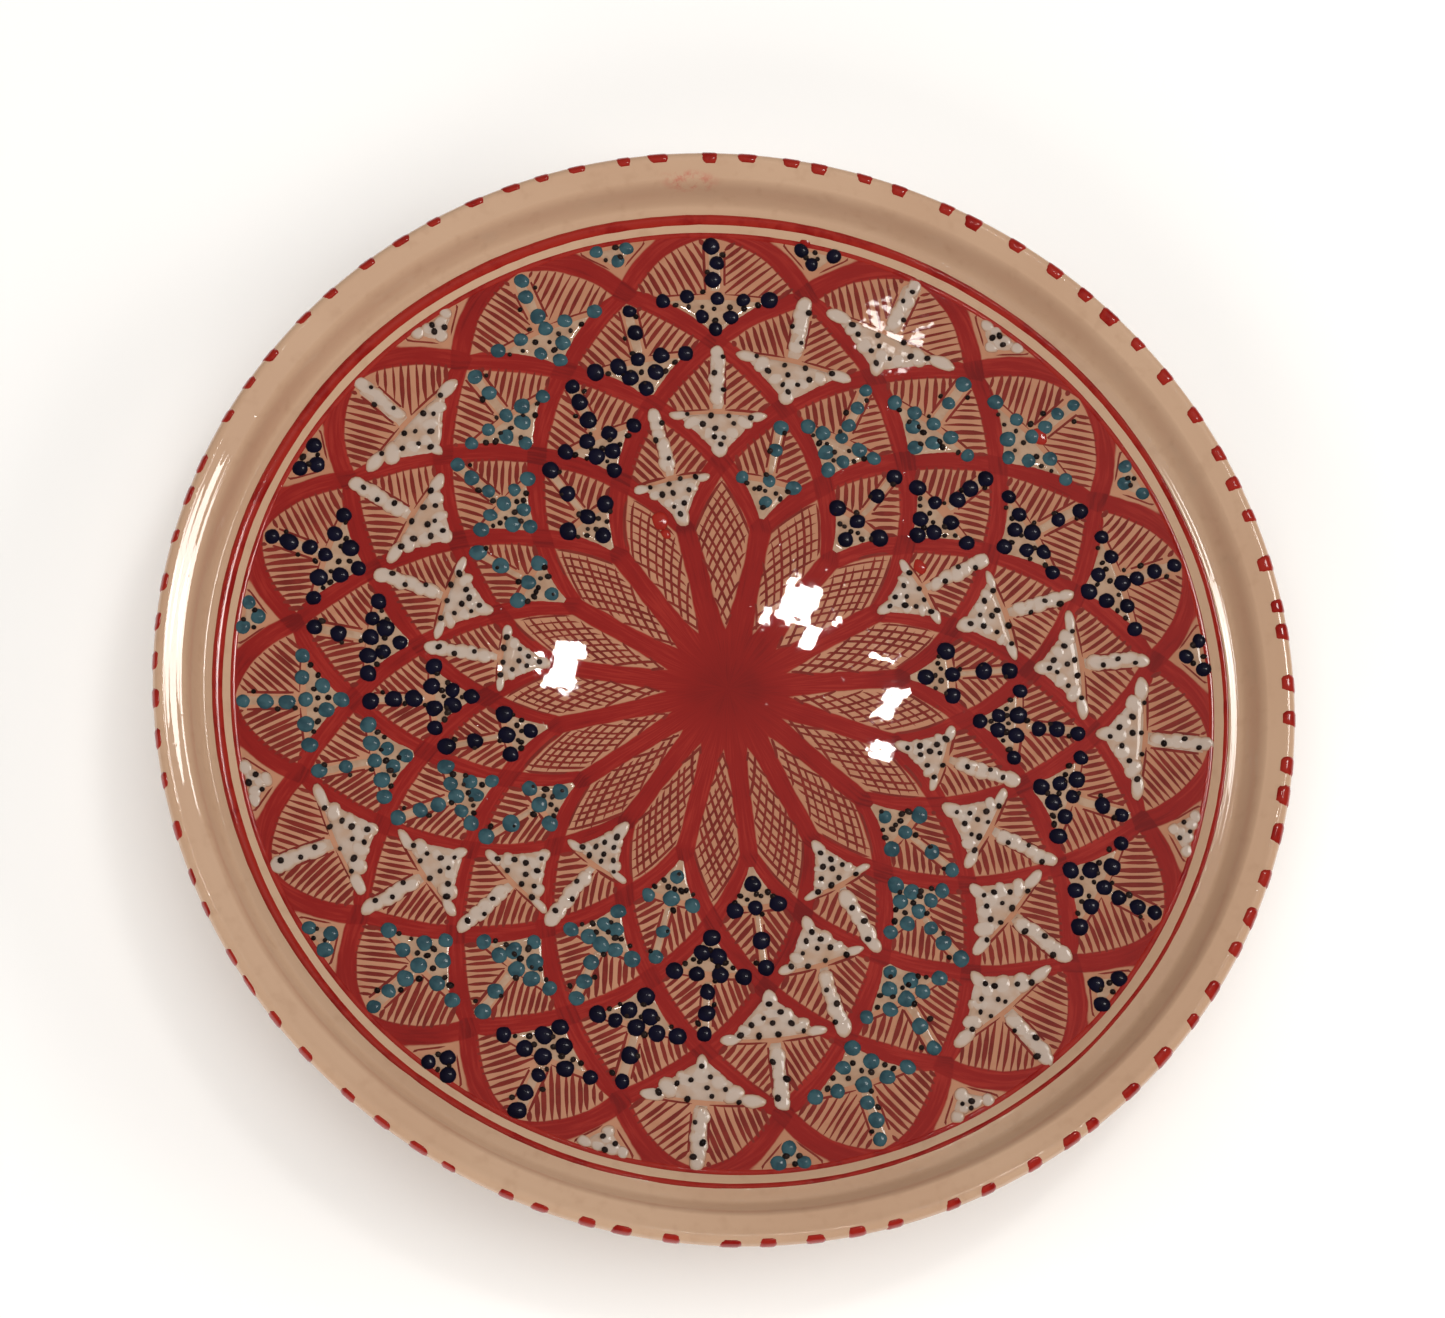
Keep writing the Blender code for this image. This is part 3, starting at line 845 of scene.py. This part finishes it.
def whiteArm(arm, rng):
    lift = umbrella["padLift"]
    shape, daubs = ([], []), []

    def addDaub(turn, row, side, depth, width, length, spin):
        daubs.append((jitterSpot(turn, row, side, depth, lift * 0.5, rng, 0.02),
                      (width * rng.uniform(0.85, 1.15), length * rng.uniform(0.85, 1.15), 0.14),
                      drifted(turn) + spin))

    for row in range(net["umbrellaRows"]):
        turn = cellTurn(arm, row)
        umbrellaFields(shape, turn, row, lift, rng, 1.25)
        shrink = 1.0 - 0.12 * row
        for mirrored in (-1, 1):
            addDaub(turn, row, mirrored * 0.62, 1.23, 1.7 * shrink, 3.6 * shrink, 0.0)
            addDaub(turn, row, mirrored * 0.40, 1.36, 2.2 * shrink, 2.9 * shrink, mirrored * 0.5)
            addDaub(turn, row, mirrored * 0.20, 1.54, 2.3 * shrink, 2.6 * shrink, mirrored * 0.6)
        addDaub(turn, row, 0.0, 1.78, 3.1, 1.9, 0.0)
        addDaub(turn, row, 0.0, 1.62, 2.3, 2.6, 0.0)
        for depth in umbrella["stemDaubs"]:
            addDaub(turn, row, 0.0, depth, 2.5, 1.95, rng.uniform(-0.3, 0.3))
    turn = cellTurn(arm, 0) - halfStep
    spandrelField(shape, turn, lift, rng)
    for side, depth in umbrella["spandrelDaubs"]:
        addDaub(turn, 0, side, depth, 1.6, 1.8, 0.0)
    field = newObject("whiteField", *shape, material=materials["white"])
    giveAttribute(field, "milk", "FLOAT", [0.42] * len(field.data.vertices))
    blobs = makeDrops("whiteDaubs", daubs, materials["white"], 14, 8, 1.1)
    return joinPieces(f"whiteArm{arm + 1:02d}", [field, blobs])


def pinDrops(rng):
    drops = []

    def addPin(turn, row, side, depth, lift):
        size = umbrella["pin"] * rng.uniform(0.8, 1.2)
        drops.append((jitterSpot(turn, row, side, depth, lift, rng, 0.04),
                      (size * rng.uniform(0.9, 1.3), size, 0.5), rng.uniform(0, math.pi)))

    for arm, colour in enumerate(net["colours"]):
        white = colour == "white"
        lift = umbrella["padLift"] + 0.12 if white else umbrella["filmLift"]
        for row in range(net["umbrellaRows"]):
            for side, depth in umbrella["whitePins" if white else "pins"]:
                addPin(cellTurn(arm, row), row, side, depth, lift)
        for side, depth in umbrella["spandrelPins"]:
            addPin(cellTurn(arm, 0) - halfStep, 0, side, depth, lift)
    return drops


# Stray drips of red; each spot is (across, along, half width)
drips = {
    "spots": [(-16.6, 44.0, 2.0), (49.4, 33.0, 1.6), (81.4, 68.2, 1.9), (21.6, 121.0, 1.4),
              (-15.0, 40.6, 1.1)],
    "long": 1.3, "height": 0.3, "lift": 0.05, "spin": 0.4,
}


def dripDrops():
    drops = []
    for x, y, size in drips["spots"]:
        spot = onFloor(math.hypot(x, y), math.atan2(y, x), drips["lift"])
        drops.append((spot, (size, size * drips["long"], drips["height"]), drips["spin"]))
    return drops


# ---- fine brushwork

brushwork = {
    "hatchPitch": 1.80, "hatchHalf": 0.62, "leftSlant": 118.0, "rightSlant": 42.0,
    "petalPitch": 1.80, "petalHalf": 0.36, "petalSlant": 25.0, "edgeHalf": 0.44, "lift": 0.03,
    "chevronGap": 3.3,
}


def strokesAcross(outline, slant, pitch, rng):
    # Parallel lines at a slant, cut to a flat outline
    back = Matrix.Rotation(-math.radians(slant), 2)
    level = [back @ point for point in outline]
    low, high = min(p.y for p in level), max(p.y for p in level)
    height, found = low + pitch * rng.uniform(0.3, 0.7), []
    while height < high:
        cuts = []
        for here, there in zip(level, level[1:] + level[:1]):
            if (here.y > height) != (there.y > height):
                share = (height - here.y) / (there.y - here.y)
                cuts.append(here.x + (there.x - here.x) * share)
        cuts.sort()
        for start, end in zip(cuts[::2], cuts[1::2]):
            if end - start > 1.2:
                found.append((start, end, height))
        height += pitch * rng.uniform(0.88, 1.12)
    forward = Matrix.Rotation(math.radians(slant), 2)
    return [(forward @ Vector((start, y)), forward @ Vector((end, y))) for start, end, y in found]


def strokePoints(turn, start, end, bow, count, lift):
    # A stroke from start to end, bowed sideways by a share of its length
    along = end - start
    across = Vector((-along.y, along.x)) * bow
    points = []
    for k in range(count):
        share = k / (count - 1)
        flat = start + along * share + across * 4 * share * (1 - share)
        points.append(planPoint(turn, flat, lift))
    return points


def archSide(firstRow, row, inside):
    # Half width of a cell at a row, less a distance kept from the middle of its line
    depth = firstRow + row
    if row < 1.0:
        half = row ** net["archPower"] if firstRow == 0 else row
    else:
        half = 2.0 - row
    return half - 2 * inside / armGap(depth)


def hatchOutline(firstRow, mirrored):
    inside = net["armHalfWidth"] - 0.55
    bottom = umbrella["edgeRow"] - 0.05
    stem = umbrella["stemHalf"] + 0.02
    rows = [0.12 + (bottom - 0.12) * k / 9 for k in range(10)]
    border = [(max(archSide(firstRow, row, inside), stem), row) for row in rows]
    corners = border + [(stem, bottom), (stem, rows[0])]
    return [planOf(firstRow, side * mirrored, row) for side, row in corners]


def hatchStrokes(rng):
    # Each arch is hatched to both sides of the stem, and the lines lean in to the middle
    strokes = []
    for arm in range(net["arms"]):
        for row in range(net["umbrellaRows"]):
            turn = cellTurn(arm, row)
            for mirrored, slant in ((1, "leftSlant"), (-1, "rightSlant")):
                lean = brushwork[slant] + rng.uniform(-4, 4)
                for start, end in strokesAcross(hatchOutline(row, mirrored), lean,
                                                brushwork["hatchPitch"], rng):
                    points = strokePoints(turn, start, end, rng.uniform(-0.02, 0.02), 4,
                                          brushwork["lift"])
                    strokes.append((points, brushwork["hatchHalf"] * rng.uniform(0.8, 1.2)))
    return strokes


def petalOutline():
    inside = net["armHalfWidth"] - 0.5
    points = []
    for k in range(16):
        depth = 4.12 + 2.33 * k / 15
        if depth < net["petalRow"]:
            half = depth - 4.0 - 2 * inside / armGap(depth)
        else:
            swell = 0.8 * ((depth - net["petalRow"]) / 1.5) ** 4
            half = 1.0 - 2 * (inside + swell) / armGap(depth)
        points.append((max(half, 0.0), depth))
    points = [point for point in points if point[0] > 0.0]
    around = points + [(-side, depth) for side, depth in reversed(points)]
    return [planOf(0, side, depth) for side, depth in around]


def petalStrokes(rng):
    strokes = []
    outline = petalOutline()
    for arm in range(net["arms"]):
        turn = cellTurn(arm, 4)
        for lean in (90 - brushwork["petalSlant"], 90 + brushwork["petalSlant"]):
            slant = lean + rng.uniform(-3, 3)
            bow = 0.035 if lean < 90 else -0.035
            for start, end in strokesAcross(outline, slant, brushwork["petalPitch"], rng):
                points = strokePoints(turn, start, end, bow + rng.uniform(-0.01, 0.01), 6,
                                      brushwork["lift"])
                strokes.append((points, brushwork["petalHalf"] * rng.uniform(0.8, 1.2)))
    return strokes


def umbrellaLines(rng):
    # The thin line over each umbrella's straight edge, those beside its stem, and the
    # chevron inside each small field at the border
    strokes, half = [], brushwork["edgeHalf"]
    edge, stem = umbrella["edgeRow"] - 0.045, umbrella["stemHalf"] + 0.02
    for arm in range(net["arms"]):
        for row in range(net["umbrellaRows"]):
            turn = cellTurn(arm, row)
            for mirrored in (-1, 1):
                sides = [mirrored * (stem + (0.72 - stem) * k / 4) for k in range(5)]
                strokes.append(([cellPoint(turn, row, side, edge, 0.03) for side in sides],
                                half * rng.uniform(0.8, 1.1)))
                rows = [0.2 + (edge - 0.2) * k / 4 for k in range(5)]
                strokes.append(([cellPoint(turn, row, mirrored * stem, r, 0.03) for r in rows],
                                half * rng.uniform(0.7, 1.0)))
        turn = cellTurn(arm, 0) - halfStep
        for mirrored in (-1, 1):
            points = []
            for k in range(7):
                depth = 0.07 + 0.45 * k / 6
                side = 1.0 - depth ** net["archPower"] - 2 * brushwork["chevronGap"] / armGap(depth)
                points.append(cellPoint(turn, 0, mirrored * max(side, 0.0), depth, 0.03))
            strokes.append((points, half * 0.9))
    return strokes


# ---- dabs of red over the lip

dabs = {"count": 82, "halfWidth": 2.45, "innerRadius": 137.3, "reach": 1.4, "seed": 21}


def rimDabs():
    rng = random.Random(dabs["seed"])
    section = smoothSection(plateForm["shoulder"][-4:] + plateForm["lip"]
                            + plateForm["underside"][:1], 4)
    vertices, faces, columns = [], [], 7
    for index in range(dabs["count"]):
        turn = 2 * math.pi * (index + rng.uniform(-0.22, 0.22)) / dabs["count"]
        # They reach in over the lip on the far right, and only touch its edge on the near left
        inner = (dabs["innerRadius"] + dabs["reach"] * math.cos(turn - math.radians(215))
                 + rng.uniform(-0.3, 0.4))
        first = next(k for k, (radius, height) in enumerate(section) if radius > inner)
        last = len(section) - rng.choice((3, 4, 4, 5))
        rows = section[first:last]
        half = dabs["halfWidth"] * rng.uniform(0.75, 1.15) / 138.0
        skew = rng.uniform(-0.25, 0.25) * half
        top, bottom = [], []
        for i, (radius, height) in enumerate(rows):
            ahead = rows[min(i + 1, len(rows) - 1)]
            behind = rows[max(i - 1, 0)]
            out = Vector((ahead[0] - behind[0], ahead[1] - behind[1])).normalized()
            normal = Vector((-out.y, out.x)) if out.x > 0 or out.y < 0 else Vector((out.y, -out.x))
            share = i / (len(rows) - 1)
            ends = 1.0 - 0.30 * abs(2 * share - 1) ** 3
            for j in range(columns):
                across = 2 * j / (columns - 1) - 1
                rough = noise.noise(Vector((index * 3.1, i * 0.6, across))) * 0.12
                angle = turn + half * (across * ends + rough) + skew * (share - 0.5)
                edge = i in (0, len(rows) - 1) or j in (0, columns - 1)
                for lift, line in ((-0.03 if edge else 0.17, top), (-0.2, bottom)):
                    line.append(turnedPoint(radius + normal.x * lift, height + normal.y * lift, angle))
        closedPatch(vertices, faces, top, bottom, len(rows), columns)
    return newObject("rimDabs", vertices, faces, material=materials["red"])


# ---- putting the plate together

def evenNormals(piece):
    shape = bmesh.new()
    shape.from_mesh(piece.data)
    bmesh.ops.recalc_face_normals(shape, faces=shape.faces)
    shape.to_mesh(piece.data)
    shape.free()


lines = {"bandInner": 123.9, "innerSway": 0.3, "bandOuter": 126.0, "outerSway": 0.75,
         "broadSide": math.radians(135), "borderInner": 120.6, "borderOuter": 122.2}


def bandInner(turn):
    return lines["bandInner"] - lines["innerSway"] * math.cos(turn - lines["broadSide"])


def bandOuter(turn):
    # Broad on the far left, thin on the near right
    return lines["bandOuter"] + lines["outerSway"] * math.cos(turn - lines["broadSide"])


def borderInner(turn):
    return lines["borderInner"]


def borderOuter(turn):
    return lines["borderOuter"]


def shoulderHeight(radius):
    line = smoothSection([(121.9, floorHeight(121.9))] + plateForm["shoulder"], 5)
    for (r0, z0), (r1, z1) in zip(line, line[1:]):
        if r0 <= radius <= r1:
            return z0 + (z1 - z0) * (radius - r0) / (r1 - r0)
    return floorHeight(radius)


body = makeBody()
evenNormals(body)
rideRoot(body, "cream_glaze", "clay_body")
foot = makeFoot()
evenNormals(foot)
rideRoot(foot, "bare_clay", "foot_ring")
well = makePaintedWell()
rideRoot(well, "red_slip")
band = brushedRing("rimBand", shoulderHeight, bandInner, bandOuter, 0.25, materials["red"], 3.0)
evenNormals(band)
rideRoot(band, "red_slip", "red_band")
border = brushedRing("borderLine", floorHeight, borderInner, borderOuter, 0.3, materials["red"], 8.0)
evenNormals(border)
rideRoot(border, "red_slip", "border_ring")
print("form turned and lined")

rng = random.Random(11)
for arm, colour in enumerate(net["colours"]):
    made = whiteArm(arm, rng) if colour == "white" else dottedArm(arm, colour, rng)
    evenNormals(made)
    rideRoot(made, colour + "_slip", f"{colour}_arm_{arm + 1:02d}")
pins = makeDrops("pinDots", pinDrops(rng), materials["black"], 8, 5, 0.3)
rideRoot(pins, "black_slip")
print("arms dotted")

strayDrips = makeDrops("strayDrips", dripDrops(), materials["red"], 14, 8, 1.2)
rideRoot(strayDrips, "red_slip")

for name, strokes, fullness in (("hatchStrokes", hatchStrokes(rng), 0.18),
                                ("petalStrokes", petalStrokes(rng), 0.22),
                                ("umbrellaLines", umbrellaLines(rng), 0.2)):
    drawn = makeStrokes(name, strokes, materials["hatch"], fullness)
    evenNormals(drawn)
    rideRoot(drawn, "red_slip")
    print(name, len(strokes))
lipDabs = rimDabs()
evenNormals(lipDabs)
rideRoot(lipDabs, "red_slip")


# ---- stage, light and camera

studio = {
    "distance": 5.5,            # camera from the lip's centre, in lip radii
    "elevation": 70.4, "nearSide": (-0.343, -0.939), "lens": 78.8, "shift": (-0.0093, 0.0053),
    "floorColour": (0.93, 0.93, 0.93), "world": (1.0, 0.985, 0.965), "worldStrength": 0.06,
}


# Soft lamps are bearings in degrees with their power; the room lamps whiten the left of the lip
soft = {
    "boxPlace": (0.0, 0.1, 2.0), "boxSize": (2.4, 2.4), "boxPower": 29.5,
    "sides": ((250, 12.5), (0, 14.0), (90, 3.0), (180, 5.5)),
    "sideRise": 0.42, "sideReach": 1.4, "sideSize": (0.9, 0.9),
}
room = {"across": (0.35, 0.47), "along": 0.40, "height": 1.2, "target": (0, 0, 0.02),
        "size": (0.125, 0.125), "power": 0.9}


def makeFloor():
    reach = 3000.0
    floor = newObject("studioFloor", [(-reach, -reach, 0), (reach, -reach, 0), (reach, reach, 0),
                                      (-reach, reach, 0)], [(0, 1, 2, 3)])
    material = bpy.data.materials.new("studioPaper")
    material.use_nodes = True
    shader = material.node_tree.nodes["Principled BSDF"]
    shader.inputs["Base Color"].default_value = (*studio["floorColour"], 1.0)
    shader.inputs["Roughness"].default_value = 0.9
    shader.inputs["Specular IOR Level"].default_value = 0.1
    floor.data.materials.append(material)


def addLamp(name, place, target, size, power, mirrored=True, colour=(1.0, 0.97, 0.93)):
    # A lamp that isn't mirrored lights the plate and leaves its glaze dark
    lamp = bpy.data.lights.new(name, "AREA")
    lamp.shape = "RECTANGLE"
    lamp.size, lamp.size_y = size
    lamp.energy = power
    lamp.color = colour
    holder = bpy.data.objects.new(name, lamp)
    holder.location = place
    holder.rotation_euler = (Vector(target) - Vector(place)).to_track_quat("-Z", "Y").to_euler()
    holder.visible_glossy = mirrored
    bpy.context.scene.collection.objects.link(holder)


def makeCamera():
    near = Vector((*studio["nearSide"], 0.0)).normalized()
    rise = math.radians(studio["elevation"])
    back = near * math.cos(rise) + Vector((0, 0, math.sin(rise)))
    down = (near - back * near.dot(back)).normalized()
    side = back.cross(down)
    right = down * near.x - side * near.y
    up = down * near.y + side * near.x
    centre = Vector((0, 0, clayHigh.z))
    place = centre + back * studio["distance"] * clayHigh.x
    camera = bpy.data.cameras.new("plateCamera")
    camera.lens = studio["lens"]
    camera.sensor_width = 36.0
    camera.shift_x, camera.shift_y = studio["shift"]
    holder = bpy.data.objects.new("plateCamera", camera)
    turned = Matrix((right, up, back)).transposed().to_4x4()
    holder.matrix_world = Matrix.Translation(place) @ turned
    bpy.context.scene.collection.objects.link(holder)
    bpy.context.scene.camera = holder


def makeWorld():
    world = bpy.data.worlds.new("studioAir")
    world.use_nodes = True
    air = world.node_tree.nodes["Background"]
    air.inputs["Color"].default_value = (*studio["world"], 1.0)
    air.inputs["Strength"].default_value = studio["worldStrength"]
    bpy.context.scene.world = world


makeFloor()
makeWorld()
makeCamera()
addLamp("softBox", soft["boxPlace"], (0, 0, 0), soft["boxSize"], soft["boxPower"], mirrored=False)
for bearing, power in soft["sides"]:
    side = Vector((math.cos(math.radians(bearing)), math.sin(math.radians(bearing)), soft["sideRise"]))
    addLamp(f"softSide{bearing}", side * soft["sideReach"], (0, 0, 0), soft["sideSize"], power,
            mirrored=False)
for across in room["across"]:
    addLamp(f"room{across}", (across, room["along"], room["height"]), room["target"], room["size"],
            room["power"])

# Small ceiling lamps, mirrored in the hollow of the plate as a few uneven clusters.
# Each lamp is (across, along, width, length, brightness), in millimetres from its cluster
ceiling = {
    "A": ((0.110, 0.273), [(0.0, 1.5, 8.0, 5.5, 60), (-6.8, 0.8, 2.4, 2.6, 90),
                           (-2.1, 5.6, 1.4, 1.2, 110), (3.6, -5.4, 3.6, 4.6, 70),
                           (8.3, -3.4, 1.4, 1.0, 150)]),
    "B": ((0.056, 0.262), [(1.2, 0.0, 4.2, 7.6, 60), (-7.6, 0.8, 1.5, 3.0, 100),
                           (-3.0, 0.5, 2.0, 3.6, 80), (3.8, 3.0, 2.2, 2.0, 90),
                           (0.4, -4.4, 4.4, 1.6, 80)]),
    "C": ((0.129, 0.251), [(-1.3, 9.8, 4.6, 0.9, 120), (0.0, 0.2, 3.2, 6.4, 60),
                           (-1.4, -9.0, 3.2, 2.6, 70)]),
    "D": ((0.115, 0.300), [(-3.0, 1.2, 3.6, 1.4, 22), (0.5, -0.6, 2.6, 1.2, 26),
                           (4.0, -1.6, 2.4, 1.4, 22)]),
}
ceilingHeight = 0.8
for name, (place, parts) in ceiling.items():
    for k, (across, along, width, length, brightness) in enumerate(parts):
        spot = Vector((place[0] + across / 1000, place[1] + along / 1000, ceilingHeight))
        power = brightness * math.pi * width * length / 1e6
        addLamp(f"ceiling{name}{k + 1}", spot, (spot.x * 0.15, spot.y * 0.07, 0.016),
                (width / 1000, length / 1000), power)
bpy.context.scene.view_settings.view_transform = "Standard"

print("plate finished")
